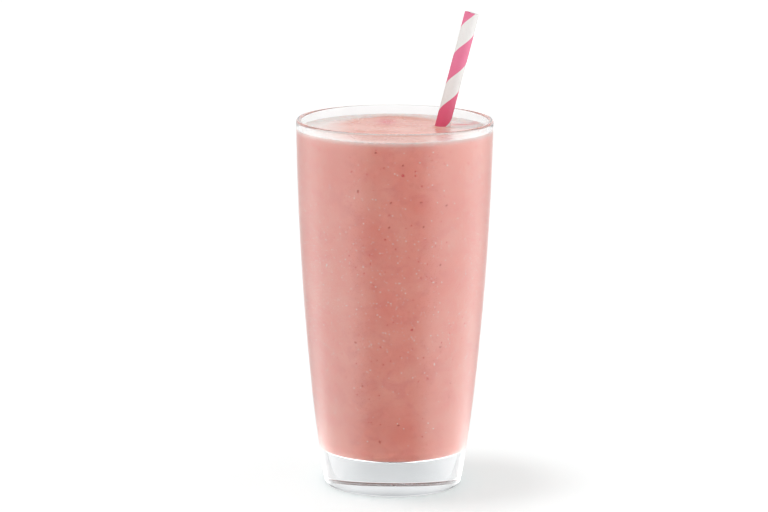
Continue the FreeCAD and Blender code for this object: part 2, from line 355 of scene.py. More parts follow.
def smoothie_material():
    """Two pinks blended by slow clouds, then wisps and pulp, then the masks of painted top shade, froth
    with painted light, and puree with painted shade.

    Wisps are the cube of a cloud and pulp its fourth power, so that only their peaks show. The froth and
    painted light is its mask times (a cloud plus a half), which makes its edge ragged.
    """
    material, tree, shader = new_material("strawberry_smoothie")
    place = node(tree, "ShaderNodeTexCoord").outputs["Object"]
    slow = cloud(tree, place, scale=55, contrast=3.0)
    colour = blend_colours(tree, slow, MILKY_PINK, DEEP_PINK)
    lying = node(tree, "ShaderNodeMapping", {"Vector": place, "Scale": (1, 1, 1.5)}).outputs[0]
    wisp = cloud(tree, lying, scale=120, contrast=4.0, twist=0.8)
    wisp = math_node(tree, "MULTIPLY", math_node(tree, "POWER", wisp, 3.0), WISP_SHARE)
    colour = blend_colours(tree, wisp, colour, PUREE_RED)
    pulp = cloud(tree, place, scale=1100, contrast=3.0)
    grain = math_node(tree, "MULTIPLY", math_node(tree, "POWER", pulp, 4.0), PULP_SHARE)
    colour = blend_colours(tree, grain, colour, PUREE_RED)
    ragged = cloud(tree, place, scale=300, detail=2.0, contrast=0.7)
    froth_and_light = math_node(tree, "MULTIPLY", painted_mask(tree, "froth_and_light"), math_node(tree, "ADD", ragged, 0.5))
    # Painted shade: the open top surface is darkened towards a deeper pink, for the light that falls on it
    # from above.
    colour = blend_colours(tree, painted_mask(tree, "top_shade"), colour, SHADED_TOP_PINK)
    # Pale froth at the glass, with a painted highlight where it widens at the left and right, and painted
    # light on the shaded underside.
    colour = blend_colours(tree, froth_and_light, colour, PALE_FROTH_AND_LIGHT)
    # Puree, and painted shade in the strong spot just right of the straw.
    colour = blend_colours(tree, painted_mask(tree, "puree_and_shade"), colour, SURFACE_RED)
    tree.links.new(colour, shader.inputs["Base Color"])
    sheen = node(tree, "ShaderNodeMapRange", {0: slow, 3: 0.20, 4: 0.32}).outputs[0]
    tree.links.new(sheen, shader.inputs["Roughness"])
    tree.links.new(bump(tree, pulp, 0.35, 0.04), shader.inputs["Normal"])
    shader.inputs["IOR"].default_value = 1.36
    # Light wanders up to 2.5 mm through the milk, and red wanders farthest.
    shader.inputs["Subsurface Weight"].default_value = 0.25
    shader.inputs["Subsurface Radius"].default_value = (1.0, 0.45, 0.35)
    shader.inputs["Subsurface Scale"].default_value = 2.5 * MM
    return material


SMOOTHIE = smoothie_material()

# %% [markdown]
# ## Body of the drink
# The drink wets the glass, so there is no air between them. If both surfaces lay in the same place
# they would flicker, and with a gap the glass would look empty and the drink shrunken. So the
# drink's side reaches a tenth of a millimetre into the glass.
# Only over the floor does it stop short, by a film as thin as a hair. Light that runs along inside
# the thick base strikes the floor at a shallow angle, and a real wet floor throws most of it back.
# Its top isn't flat either. It climbs the glass in a small hollow curve, climbs the straw too, and
# keeps the soft ridges that pouring left.

# %% Relief of the drink's surface
OVERLAP = 0.12
FLOOR_FILM = 0.06
COLLAR_RISE = 0.75
COLLAR_REACH = 0.9
RIDGE_HEIGHT = 0.07
SWELL_HEIGHT = 0.12
RIDGE_FADE = 6.0
CONTACT_RADIUS = float(side_radius(DRINK_TOP, WALL))
FLAT_RADIUS = CONTACT_RADIUS - MENISCUS_EDGE - MENISCUS_WIDTH
COVE = (MENISCUS_WIDTH ** 2 + MENISCUS_RISE ** 2) / (2 * MENISCUS_RISE)
STRAW_AXIS = np.array([math.sin(STRAW_LEAN) * math.cos(STRAW_HEADING),
                       math.sin(STRAW_LEAN) * math.sin(STRAW_HEADING), math.cos(STRAW_LEAN)])


def straw_distance(x, y, z):
    """Distance of points from the straw's axis: the length of the part across the axis."""
    away = np.stack([x - STRAW_X, y - STRAW_Y, z - DRINK_LEVEL], -1)
    along = away @ STRAW_AXIS
    return np.sqrt(np.maximum((away ** 2).sum(-1) - along ** 2, 0))


def pouring_ridges(x, y):
    """Soft ridges of a poured drink: waves round an off-centre point, bent by slower waves.

    The wave is the sine of (reach + part of the turn + slow waves of x and y), added to one broad
    swell, and both fade out over the last few millimetres before the climb at the glass.
    """
    reach = np.hypot(x + 6, (y + 2) * 0.8)
    turn = np.arctan2(y + 2, x + 6)
    wave = np.sin(reach / 2.3 + 1.4 * turn + 0.8 * np.sin(x / 7.0) + 0.6 * np.cos(y / 5.5 + 1.0))
    slow = np.sin(x / 9.0 + 0.7) * np.cos(y / 11.0 - 0.4)
    fade = np.clip((FLAT_RADIUS - np.hypot(x, y)) / RIDGE_FADE, 0, 1)
    return fade * (RIDGE_HEIGHT * wave + SWELL_HEIGHT * slow)


def drink_surface(x, y):
    """Height of the drink's surface: level, hollow climb at the glass, collar at the straw, ridges.

    The climb is a circle's arc, its radius less the root of (radius squared less the way past the
    flat squared). The collar falls off as the exponential of the distance from the straw.
    """
    past = np.clip(np.hypot(x, y) - FLAT_RADIUS, 0, MENISCUS_WIDTH)
    climb = COVE - np.sqrt(COVE ** 2 - past ** 2)
    gap = np.maximum(straw_distance(x, y, np.full_like(x, DRINK_LEVEL)) - STRAW_RADIUS, 0)
    collar = COLLAR_RISE * np.exp(-gap / COLLAR_REACH)
    return DRINK_LEVEL + climb + collar + pouring_ridges(x, y)


print("flat part of the surface: radius %.1f mm, at the glass %.1f mm" % (FLAT_RADIUS, CONTACT_RADIUS))

# %% [markdown]
# ## Puree, froth, painted light and painted shade
# Froth rises to the surface of a blended drink and gathers against the glass, where it also clings to the
# side for a few millimetres below the top edge. Its pale mask is widened at the left and right of the top
# as a painted highlight, and it makes the shaded underside paler as painted light. Puree that the blades
# missed floats up as one round blob and a few drawn out streaks, and one strong red spot just right of the
# straw is painted shade. The open top surface is darkened as painted shade, for the light that falls on it
# from above. These have a place rather than a pattern, so they are masks worked out for each corner of the
# mesh.

# %% Masks of the surface
# Each spot: x and y of its middle, its half width and half depth, and its strength. Most are puree; the
# fifth, the strong spot just right of the straw, is painted shade.
PUREE_AND_SHADE_SPOTS = ((-3.5, 21.0, 3.8, 8.0, 1.0), (8.0, 20.0, 10.0, 2.0, 0.22), (-16.0, 16.0, 10.0, 2.0, 0.16),
               (13.0, 13.0, 9.0, 1.6, 0.28), (27.5, 15.5, 5.5, 2.8, 0.9), (-4.0, -6.0, 20.0, 1.8, 0.2),
               (8.0, -14.0, 18.0, 2.0, 0.2), (-12.0, -20.0, 12.0, 2.2, 0.14))
FROTH_CLING = 3.0
# Painted shade: how far the open top surface is darkened.
TOP_SHADE_SHARE = 0.85
# Painted light: how pale the shaded underside of the drink is painted.
UNDERSIDE_PAINTED_LIGHT = 0.9
SIDE_FROTH = 0.8


def puree_and_shade_mask(x, y):
    """Where redder puree and painted shade lie in the surface: a sum of soft spots, most drawn out
    sideways.

    Each spot is its strength times the exponential of minus (across squared plus along squared),
    in its own half widths, on a plane that a slow sine wave bends.
    """
    bent_y = y + 1.5 * np.sin(x / 8.0)
    total = np.zeros_like(x)
    for at_x, at_y, wide, deep, strength in PUREE_AND_SHADE_SPOTS:
        total += strength * np.exp(-((x - at_x) / wide) ** 2 - ((bent_y - at_y) / deep) ** 2)
    return np.clip(total, 0, 1)


def top_froth_and_highlight_mask(x, y):
    """Where fine froth lies on top: from the glass inwards, widest at the left and right, where the
    widening is a painted highlight.

    The way in from the glass, divided by a width that grows with the square of the sideways share
    of the direction, goes through a smooth step from one to zero.
    """
    reach = np.maximum(np.hypot(x, y), 1e-6)
    sideways = (x / reach) ** 2
    width = (6.5 - 2.5 * y / reach + sideways * (20.0 + 2.5 * x / reach)
             + 0.8 * np.sin(3 * np.arctan2(y, x) + 0.6))
    share = np.clip(1 - (CONTACT_RADIUS - reach) / width, 0, 1)
    return share * share * (3 - 2 * share)


def side_froth_and_underside_light(height):
    """Off the surface: pale paint on the underside, painted light that lifts its shade, and froth clinging
    below the top edge by a square law.
    """
    underside = height < BASE_THICK + 0.5
    clinging = np.clip((height - DRINK_TOP + FROTH_CLING) / FROTH_CLING, 0, 1) ** 2
    return UNDERSIDE_PAINTED_LIGHT * underside + SIDE_FROTH * clinging


def paint(piece, name, values):
    """Store a mask on a piece's corners, where its material reads it by name."""
    piece.data.attributes.new(name, "FLOAT", "POINT").data.foreach_set("value", values)
    print("%s: mean %.3f" % (name, float(np.mean(values))))


# %% Profile of the drink, from its floor up the side
CORNER_STEPS = 24
DRINK_FLOOR_STEPS = 9
DRINK_SIDE_STEPS = 70
SIDE_END = 0.05


def inner_corner():
    """Arc that rounds the glass between its inner floor and its side, from the floor upwards."""
    corner = (float(side_radius(BASE_THICK, WALL)), BASE_THICK)
    return round_corner(corner, (-1, 0), side_slope(BASE_THICK, WALL), FLOOR_ROUND, CORNER_STEPS)


def drink_profile():
    """Half section of the drink up to its top edge, from the floor's centre outwards and up.

    The rounded corner is the glass's own, moved along its normal: by minus the film's thickness
    until it has turned 20 degrees from facing down, and by plus the overlap from 45 degrees on.
    """
    corner = inner_corner()
    along = np.gradient(corner, axis=0)
    normal = np.stack([along[:, 1], -along[:, 0]], -1) / np.hypot(along[:, 0], along[:, 1])[:, None]
    turned = np.degrees(np.arctan2(normal[:, 0], -normal[:, 1]))
    corner = corner + normal * np.interp(turned, [20, 45], [-FLOOR_FILM, OVERLAP])[:, None]
    across = np.linspace(0, corner[0, 0], DRINK_FLOOR_STEPS)[:-1]
    floor = np.stack([across, np.full(len(across), BASE_THICK + FLOOR_FILM)], -1)
    height = np.linspace(corner[-1, 1], DRINK_TOP - SIDE_END, DRINK_SIDE_STEPS)[1:]
    side = np.stack([side_radius(height, WALL - OVERLAP), height], -1)
    return np.concatenate([floor, corner, side])


# %% The whole drink, with its masks
# The rows over the top lie close together near the glass, for the climb, and wider apart inside.
DRINK_COLUMNS = 288
lower_part = drink_profile()
inner_edge = CONTACT_RADIUS - MENISCUS_EDGE
shares = np.concatenate([[1.0 + OVERLAP / inner_edge], np.linspace(1.0, 0.9, 20),
                         np.linspace(0.9, 0.0, 62)[1:]])
top_part = np.stack([inner_edge * shares, np.full(len(shares), DRINK_TOP)], -1)
profile = np.concatenate([lower_part, top_part])
corners = spun_corners(profile, DRINK_COLUMNS)
top_start = (len(lower_part) - 1) * DRINK_COLUMNS
on_top = np.zeros(len(corners), bool)
on_top[top_start:-2] = True
on_top[-1] = True
corners[on_top, 2] = drink_surface(corners[on_top, 0], corners[on_top, 1])
drink = make_piece("smoothie_body", corners, spun_faces(len(profile) - 2, DRINK_COLUMNS), SMOOTHIE)
x, y, z = corners.T
# Puree, and painted shade just right of the straw.
paint(drink, "puree_and_shade", np.where(on_top, puree_and_shade_mask(x, y), 0))
# Painted shade on the open top surface.
paint(drink, "top_shade", TOP_SHADE_SHARE * on_top)
# Froth, with a painted highlight at the left and right of the top and painted light on the underside.
paint(drink, "froth_and_light", np.where(on_top, top_froth_and_highlight_mask(x, y), side_froth_and_underside_light(z)))
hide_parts("smoothie")

# %% [markdown]
# ## Clear glass
# Soda-lime glass bends light with an index of about 1.52 and is almost colourless. A pressed tumbler
# has a faint swell in its surface, and handling leaves patches that are a touch less glossy.
# Lamps can't be sampled through a refracting surface, so rays that only ask whether a lamp is
# visible pass straight through a Transparent shader, which keeps the drink evenly lit. A little
# absorption in its volume greys the thick base, and hardly the thin wall.

# %% The glass material
def glass_material():
    """Refracting glass with a very faint swell and tint, and Transparent for rays that test for lamps."""
    material, tree, shader = new_material("clear_glass")
    shader.inputs["Base Color"].default_value = (0.945, 0.952, 0.95, 1)
    shader.inputs["Transmission Weight"].default_value = 1.0
    shader.inputs["Metallic"].default_value = 0.0
    shader.inputs["IOR"].default_value = 1.52
    place = node(tree, "ShaderNodeTexCoord").outputs["Object"]
    handled = cloud(tree, place, scale=38, contrast=3.0)
    gloss = node(tree, "ShaderNodeMapRange", {0: handled, 3: 0.0, 4: 0.03}).outputs[0]
    tree.links.new(gloss, shader.inputs["Roughness"])
    swell = cloud(tree, place, scale=22, detail=1.0, contrast=1.5)
    tree.links.new(bump(tree, swell, 0.25, 0.15), shader.inputs["Normal"])
    clear = node(tree, "ShaderNodeBsdfTransparent", {"Color": (0.97, 0.98, 0.98, 1)})
    path = node(tree, "ShaderNodeLightPath")
    mix = node(tree, "ShaderNodeMixShader", {
        0: path.outputs["Is Shadow Ray"], 1: shader.outputs["BSDF"], 2: clear.outputs["BSDF"]})
    tree.links.new(mix.outputs[0], tree.nodes["Material Output"].inputs["Surface"])
    depth = node(tree, "ShaderNodeVolumeAbsorption", {"Color": (0.40, 0.42, 0.45, 1), "Density": 12.0})
    tree.links.new(depth.outputs[0], tree.nodes["Material Output"].inputs["Volume"])
    return material


CLEAR_GLASS = glass_material()

# %% [markdown]
# ## The tumbler
# The profile runs like the tool in the mould: from the middle of the hollow under the base, round
# the foot ring, up the outside, over the lip, down the inside and across the floor to the axis.

# %% Profile and mesh of the glass
PUNT_STEPS, FOOT_STEPS, LIP_STEPS = 26, 20, 14
UP_STEPS, DOWN_STEPS, FLOOR_STEPS = 74, 70, 10


def glass_profile():
    """Half section of the tumbler, from under its centre, round the outside, to its inner floor."""
    bow = (PUNT_RADIUS ** 2 + PUNT_DEPTH ** 2) / (2 * PUNT_DEPTH)
    reach = np.linspace(0, PUNT_RADIUS, PUNT_STEPS)
    punt = np.stack([reach, PUNT_DEPTH - bow + np.sqrt(bow ** 2 - reach ** 2)], -1)
    foot = round_corner((FOOT_RADIUS, 0), (-1, 0), side_slope(0.5), FOOT_ROUND, FOOT_STEPS)
    down_outside = -side_slope(GLASS_HEIGHT)
    outer_lip = round_corner((RIM_RADIUS, GLASS_HEIGHT), down_outside, (-1, 0), LIP_ROUND, LIP_STEPS)
    inner_top = float(side_radius(GLASS_HEIGHT, WALL))
    down_inside = -side_slope(GLASS_HEIGHT, WALL)
    inner_lip = round_corner((inner_top, GLASS_HEIGHT), (1, 0), down_inside, LIP_ROUND, LIP_STEPS)
    up = np.linspace(foot[-1, 1], outer_lip[0, 1], UP_STEPS)[1:-1]
    outside = np.stack([side_radius(up), up], -1)
    floor_corner = inner_corner()[::-1]
    down = np.linspace(inner_lip[-1, 1], floor_corner[0, 1], DOWN_STEPS)[1:-1]
    inside = np.stack([side_radius(down, WALL), down], -1)
    across = np.linspace(floor_corner[-1, 0], 0, FLOOR_STEPS)[1:]
    floor = np.stack([across, np.full(len(across), BASE_THICK)], -1)
    return np.concatenate([punt, foot, outside, outer_lip, inner_lip, inside, floor_corner, floor])


GLASS_COLUMNS = 256
profile = glass_profile()
tumbler = make_piece("tumbler", spun_corners(profile, GLASS_COLUMNS),
                     spun_faces(len(profile) - 2, GLASS_COLUMNS), CLEAR_GLASS)
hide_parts("glass")

# %% [markdown]
# ## The paper straw
# A paper straw is wound from strips of paper at a slant, so its stripes climb like a screw thread.
# Each printed stripe is one strip, and the strips' edges leave a fine seam. The tube is a closed
# section carried along the axis: out along the outside, in over the cut end, back down the inside.
# Its map gives the turn across and the distance from the top, counted in stripes, upwards.

# %% Paper with climbing stripes
STRIPE_PITCH = 23.6
WHITE_SHARE = 0.475
STRIPE_START = 0.815
STRIPE_PINK = (0.80, 0.175, 0.32, 1)
SOAKED_PINK = (0.74, 0.075, 0.17, 1)
PAPER_WHITE = (0.84, 0.83, 0.81, 1)
FIBRE_BROWN = (0.45, 0.38, 0.36, 1)
INK_EDGE = 0.012
SOAK_LENGTH = 1.1


def straw_material():
    """White and pink by the fraction of (turn + distance / pitch), with fibres and a soaked end.

    A stripe's two edges are short ramps of that fraction, up and down, multiplied. The pink deepens
    over the last pitch before the drink, where the paper has soaked it up.
    """
    material, tree, shader = new_material("striped_paper")
    uv = node(tree, "ShaderNodeSeparateXYZ", {0: node(tree, "ShaderNodeUVMap").outputs[0]})
    turn, pitches = uv.outputs[0], uv.outputs[1]
    phase = math_node(tree, "ADD", turn, pitches)
    phase = math_node(tree, "FRACT", math_node(tree, "SUBTRACT", phase, STRIPE_START - 4))
    rising = node(tree, "ShaderNodeMapRange", {0: phase, 1: 0.0, 2: INK_EDGE}).outputs[0]
    falling = node(tree, "ShaderNodeMapRange", {0: phase, 1: WHITE_SHARE, 2: WHITE_SHARE + INK_EDGE,
                                                3: 1.0, 4: 0.0}).outputs[0]
    white = math_node(tree, "MULTIPLY", rising, falling)
    place = node(tree, "ShaderNodeTexCoord").outputs["Object"]
    fibre = cloud(tree, place, scale=1500, detail=5.0, contrast=3.0)
    mottle = cloud(tree, place, scale=260)
    soak_end = (STRAW_LENGTH - (DRINK_LEVEL - BASE_THICK) / math.cos(STRAW_LEAN)) / STRIPE_PITCH
    soak_start = soak_end - SOAK_LENGTH
    soaked = node(tree, "ShaderNodeMapRange", {0: pitches, 1: soak_start, 2: soak_end}).outputs[0]
    pink = blend_colours(tree, soaked, STRIPE_PINK, SOAKED_PINK)
    ink = blend_colours(tree, white, pink, PAPER_WHITE)
    shade = math_node(tree, "MULTIPLY", math_node(tree, "ADD", fibre, mottle), 0.06)
    ink = blend_colours(tree, shade, ink, FIBRE_BROWN)
    tree.links.new(ink, shader.inputs["Base Color"])
    rough = node(tree, "ShaderNodeMapRange", {0: fibre, 3: 0.5, 4: 0.68}).outputs[0]
    tree.links.new(rough, shader.inputs["Roughness"])
    tree.links.new(bump(tree, fibre, 0.4, 0.04), shader.inputs["Normal"])
    shader.inputs["Specular IOR Level"].default_value = 0.35
    return material


STRIPED_PAPER = straw_material()


# %% The section through the tube's wall
STRAW_GAP = 0.3
STRAW_COLUMNS = 96
OUTER_ROWS = 380
INNER_ROWS = 60
CUT_ROUND = 0.16
SEAM_DEPTH = 0.05
SEAM_WIDTH = 0.16


def straw_section():
    """Distance from the top and radius of each row round the wall, and which rows are outside.

    The rows run down the outside, over the lower end and up the bore. Each cut end is two quarter
    circles: along the axis r - r cos(angle), and across it r - r sin(angle) short of the surface.
    """
    bore = STRAW_RADIUS - STRAW_WALL
    angle = np.linspace(0, np.pi / 2, 6)
    end = CUT_ROUND - CUT_ROUND * np.cos(angle)
    short = CUT_ROUND - CUT_ROUND * np.sin(angle)
    down = np.linspace(CUT_ROUND, STRAW_LENGTH - CUT_ROUND, OUTER_ROWS)[1:-1]
    up = np.linspace(STRAW_LENGTH - CUT_ROUND, CUT_ROUND, INNER_ROWS)[1:-1]
    outer_drop = np.concatenate([end, down, STRAW_LENGTH - end[::-1]])
    inner_drop = np.concatenate([STRAW_LENGTH - end, up, end[::-1]])
    outer_radius = STRAW_RADIUS - np.concatenate([short, np.zeros(len(down)), short[::-1]])
    inner_radius = bore + np.concatenate([short, np.zeros(len(up)), short[::-1]])
    drop = np.concatenate([outer_drop, inner_drop])
    return drop, np.concatenate([outer_radius, inner_radius]), np.arange(len(drop)) < len(outer_drop)


# %% The tube with its seam
def closed_faces(rows, columns):
    """Four-cornered faces of a grid whose last row joins its first and last column its first."""
    row, column = np.meshgrid(np.arange(rows), np.arange(columns), indexing="ij")
    below, beside = (row + 1) % rows, (column + 1) % columns
    faces = np.stack([row * columns + column, row * columns + beside,
                      below * columns + beside, below * columns + column], -1)
    return faces.reshape(-1, 4)


def map_stripes(mesh, columns, drop):
    """The map: the turn across, and the distance from the top in stripe pitches upwards.

    It belongs to face corners, so the last column of faces can end at exactly one turn.
    """
    index = np.empty(len(mesh.loops), np.int32)
    mesh.loops.foreach_get("vertex_index", index)
    quad = index.reshape(-1, 4)
    u = (quad % columns) / columns
    u = np.where((u.max(1, keepdims=True) > 0.9) & (u < 0.1), u + 1.0, u)
    v = drop[quad // columns] / STRIPE_PITCH
    layer = mesh.uv_layers.new(name="UVMap")
    layer.data.foreach_set("uv", np.stack([u, v], -1).astype(np.float32).ravel())


def make_straw():
    """A tube along the straw's axis whose outer radius dips in a narrow groove along the seam.

    A corner is foot + height along the axis + radius * (cos(turn) across + sin(turn) behind). The
    radius is the section's, less a bell-shaped groove where the fraction of (turn + distance /
    pitch) is near the stripes' edge.
    """
    drop, radius, outside = straw_section()
    foot_z = BASE_THICK + STRAW_GAP + STRAW_RADIUS * math.sin(STRAW_LEAN)
    run = (DRINK_LEVEL - foot_z) / STRAW_AXIS[2]
    foot = np.array([STRAW_X, STRAW_Y, DRINK_LEVEL]) - run * STRAW_AXIS
    across = np.array([1.0, 0, 0]) - STRAW_AXIS[0] * STRAW_AXIS
    across /= np.linalg.norm(across)
    behind = np.cross(STRAW_AXIS, across)
    turn = np.linspace(0, 2 * np.pi, STRAW_COLUMNS, endpoint=False)
    phase = (drop[:, None] / STRIPE_PITCH + turn / (2 * np.pi) - STRIPE_START) % 1.0
    from_seam = np.minimum(phase, 1 - phase) * STRIPE_PITCH
    groove = SEAM_DEPTH * np.exp(-(from_seam / SEAM_WIDTH) ** 2) * outside[:, None]
    reach = radius[:, None] - groove
    corners = (foot + (STRAW_LENGTH - drop)[:, None, None] * STRAW_AXIS
               + (reach * np.cos(turn))[..., None] * across + (reach * np.sin(turn))[..., None] * behind)
    piece = make_piece("paper_straw", corners.reshape(-1, 3),
                       [closed_faces(len(drop), STRAW_COLUMNS)], STRIPED_PAPER)
    map_stripes(piece.data, STRAW_COLUMNS, drop)
    return piece


straw = make_straw()
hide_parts("straw")

# %% [markdown]
# ## Seeds, flecks and bubbles
# What the blades leave in the drink shows where it touches the glass. Seeds are oval, dark red
# and about a millimetre long. Flecks are soft red crumbs of flesh. Air bubbles are paler than the
# drink, fine as dust, and thickest halfway up. Each kind is one mesh of small closed shapes, set so
# deep into the drink's side that only a cap of each stands out, as if pressed against the glass.

# %% A scatter of small shapes as one mesh
rng = np.random.default_rng(20)


def unit_blob(rows, columns):
    """Corners and faces of a small unit ball: latitude rows between two poles."""
    lift = np.linspace(-np.pi / 2, np.pi / 2, rows + 2)
    return spun_corners(np.stack([np.cos(lift), np.sin(lift)], -1), columns), spun_faces(rows, columns)


def frames_at(turn, height, roll):
    """Point on the drink's side, and the outward, sideways and upward directions there.

    The last two are rolled about the outward one by the cosine and sine of the roll.
    """
    radius = side_radius(height, WALL - OVERLAP)
    outward = np.stack([np.cos(turn), np.sin(turn), np.zeros_like(turn)], -1)
    sideways = np.stack([-np.sin(turn), np.cos(turn), np.zeros_like(turn)], -1)
    upward = np.broadcast_to([0.0, 0, 1], outward.shape)
    centre = outward * radius[:, None]
    centre[:, 2] = height
    cos, sin = np.cos(roll)[:, None], np.sin(roll)[:, None]
    return centre, outward, sideways * cos + upward * sin, upward * cos - sideways * sin


def scatter(name, blob, turn, height, roll, sizes, proud, material):
    """One mesh of many blobs: each is centre + outward * x + sideways * y + upward * z, scaled.

    The centre lies so deep that the outermost point stands proud of the drink's side by as much as
    is asked.
    """
    shape, faces = blob
    centre, outward, sideways, upward = frames_at(turn, height, roll)
    centre = centre + outward * (proud - sizes[:, 0])[:, None]
    basis = np.stack([outward * sizes[:, :1], sideways * sizes[:, 1:2], upward * sizes[:, 2:]], 1)
    corners = centre[:, None] + np.einsum("vk,nkx->nvx", shape, basis)
    shift = np.arange(len(turn))[:, None, None] * len(shape)
    faces = [(f[None] + shift).reshape(-1, f.shape[1]) for f in faces]
    piece = make_piece(name, corners.reshape(-1, 3), faces, material)
    return piece


def plain_finish(name, colour, other, scale, roughness):
    """A small piece's finish: two colours blended by a fine cloud, with a little bump."""
    material, tree, shader = new_material(name)
    place = node(tree, "ShaderNodeTexCoord").outputs["Object"]
    mask = cloud(tree, place, scale, detail=2.0, contrast=3.0)
    tree.links.new(blend_colours(tree, mask, colour, other), shader.inputs["Base Color"])
    rough = node(tree, "ShaderNodeMapRange", {0: mask, 3: roughness, 4: roughness + 0.15}).outputs[0]
    tree.links.new(rough, shader.inputs["Roughness"])
    tree.links.new(bump(tree, mask, 0.3, 0.03), shader.inputs["Normal"])
    return material


# %% Strawberry seeds
# Each seed in front: degrees round from the front, height, and length.
FRONT = -90.0
LOWEST, HIGHEST = 22, 144
SEEDS_IN_FRONT = ((-11, 143, 1.1), (5, 138, 0.9), (-22, 127, 1.3), (33, 121, 1.2), (-2, 123, 0.9),
                  (16, 123, 0.8), (-3, 113, 0.9), (18, 113, 0.9), (30, 97, 1.1), (-26, 65, 1.0),
                  (33, 63, 1.0), (54, 71, 0.9), (-22, 47, 0.8), (44, 47, 0.9), (44, 41, 0.8),
                  (4, 31, 1.0), (-10, 24, 1.4))
SEEDS_BEHIND = 34
SEED_SHAPE = (0.26, 0.42, 0.62)
SEED_PROUD = 0.16
shown = np.array(SEEDS_IN_FRONT, float)
turn = np.radians(np.concatenate([shown[:, 0] + FRONT, rng.uniform(75, 285, SEEDS_BEHIND) + FRONT]))
height = np.concatenate([shown[:, 1], rng.uniform(LOWEST, HIGHEST, SEEDS_BEHIND)])
length = np.concatenate([shown[:, 2], rng.uniform(0.7, 1.35, SEEDS_BEHIND)])
seed_sizes = length[:, None] * SEED_SHAPE
SEED = plain_finish("strawberry_seed", (0.80, 0.14, 0.085, 1), (0.56, 0.085, 0.05, 1), 1500, 0.4)
scatter("strawberry_seeds", unit_blob(7, 10), turn, height,
        rng.uniform(-1.4, 1.4, len(turn)), seed_sizes, SEED_PROUD, SEED)

# %% Flecks of red flesh
# Most are specks. The first few are larger crumbs, each with its degrees round from the front, its
# height, and its half sizes outwards, sideways and upwards.
FLECKS = 420
FLECK_PROUD = 0.13
CRUMBS = np.array(((5.0, 134, 0.3, 0.85, 0.75), (12.0, 71, 0.28, 0.7, 0.55),
                   (140.0, 96, 0.3, 0.6, 0.5), (230.0, 118, 0.3, 0.7, 0.5)))
height = 21 + 124 * rng.random(FLECKS)
fleck_sizes = rng.uniform(0.16, 0.42, (FLECKS, 3)) * [0.5, 1.0, 0.9]
fleck_turn = rng.uniform(0, 2 * np.pi, FLECKS)
fleck_turn[:len(CRUMBS)] = np.radians(CRUMBS[:, 0] + FRONT)
height[:len(CRUMBS)] = CRUMBS[:, 1]
fleck_sizes[:len(CRUMBS)] = CRUMBS[:, 2:]
FLESH = plain_finish("red_flesh", (0.82, 0.10, 0.08, 1), (0.74, 0.06, 0.05, 1), 900, 0.35)
scatter("flesh_flecks", unit_blob(7, 12), fleck_turn, height,
        rng.uniform(-1.5, 1.5, FLECKS), fleck_sizes, FLECK_PROUD, FLESH)

# %% Fine air bubbles
# Heights follow a bell curve round the middle, and the few that fall off it are spread evenly.
BUBBLES = 2000
BUBBLE_MIDDLE, BUBBLE_SPREAD = 90, 28
BUBBLE_PROUD = 0.10
band = rng.normal(BUBBLE_MIDDLE, BUBBLE_SPREAD, BUBBLES)
height = np.where((band > LOWEST) & (band < HIGHEST), band, rng.uniform(LOWEST, HIGHEST, BUBBLES))
bubble_turn = rng.uniform(0, 2 * np.pi, BUBBLES)
bubble_radius = 0.14 + 0.26 * rng.random(BUBBLES) ** 3
AIR = plain_finish("air_bubble", (0.98, 0.86, 0.81, 1), (0.99, 0.94, 0.91, 1), 700, 0.2)
scatter("air_bubbles", unit_blob(3, 7), bubble_turn, height, np.zeros(BUBBLES),
        np.stack([bubble_radius * 0.7, bubble_radius, bubble_radius], -1), BUBBLE_PROUD, AIR)

# %% [markdown]
# ## Floor
# A plain pale studio table. Painted board is a little uneven in gloss and tone. The table also
# glows, as the light table of a packshot studio does, so it stays white round the glass and lights
# the drink from below. Close to the glass the glow has a little less red in it, because the pink of
# the drink falls on the board there, and without this the shadow would turn pink.

# %% The floor and its finish
FLOOR_SIDE = 8000.0
NEAR_GLOW = 0.21
FAR_GLOW = 0.36
RED_HELD_BACK = 0.05


def floor_material():
    """Almost white board with faint slow clouds, and a glow that grows with the distance.

    The glow goes evenly from the near to the far value between 0.1 and 1.2 m from the glass. Its
    red is lower by an amount that falls to nothing between 0.04 and 0.22 m.
    """
    material, tree, shader = new_material("pale_board")
    place = node(tree, "ShaderNodeTexCoord").outputs["Object"]
    mask = cloud(tree, place, scale=6, detail=4.0, contrast=1.5)
    tone = blend_colours(tree, mask, (0.93, 0.93, 0.93, 1), (0.95, 0.95, 0.95, 1))
    tree.links.new(tone, shader.inputs["Base Color"])
    rough = node(tree, "ShaderNodeMapRange", {0: mask, 3: 0.55, 4: 0.65}).outputs[0]
    tree.links.new(rough, shader.inputs["Roughness"])
    shader.inputs["Specular IOR Level"].default_value = 0.2
    away = node(tree, "ShaderNodeVectorMath", {0: place}, operation="LENGTH").outputs["Value"]
    glow = node(tree, "ShaderNodeMapRange", {0: away, 1: 0.1, 2: 1.2, 3: NEAR_GLOW, 4: FAR_GLOW}).outputs[0]
    held_back = node(tree, "ShaderNodeMapRange", {0: away, 1: 0.04, 2: 0.22,
                                                  3: RED_HELD_BACK, 4: 0.0}).outputs[0]
    red = math_node(tree, "SUBTRACT", glow, held_back)
    glow = node(tree, "ShaderNodeCombineColor", {0: red, 1: glow, 2: glow}).outputs[0]
    tree.links.new(glow, shader.inputs["Emission Color"])
    shader.inputs["Emission Strength"].default_value = 1.0
    return material


half = FLOOR_SIDE / 2 * MM
floor_mesh = bpy.data.meshes.new("floor")
floor_mesh.from_pydata([(-half, -half, 0), (half, -half, 0), (half, half, 0), (-half, half, 0)], [],
                       [(0, 1, 2, 3)])
floor_mesh.materials.append(floor_material())
floor = bpy.data.objects.new("floor", floor_mesh)
bpy.context.scene.collection.objects.link(floor)
print("floor: %.0f m square" % (2 * half))

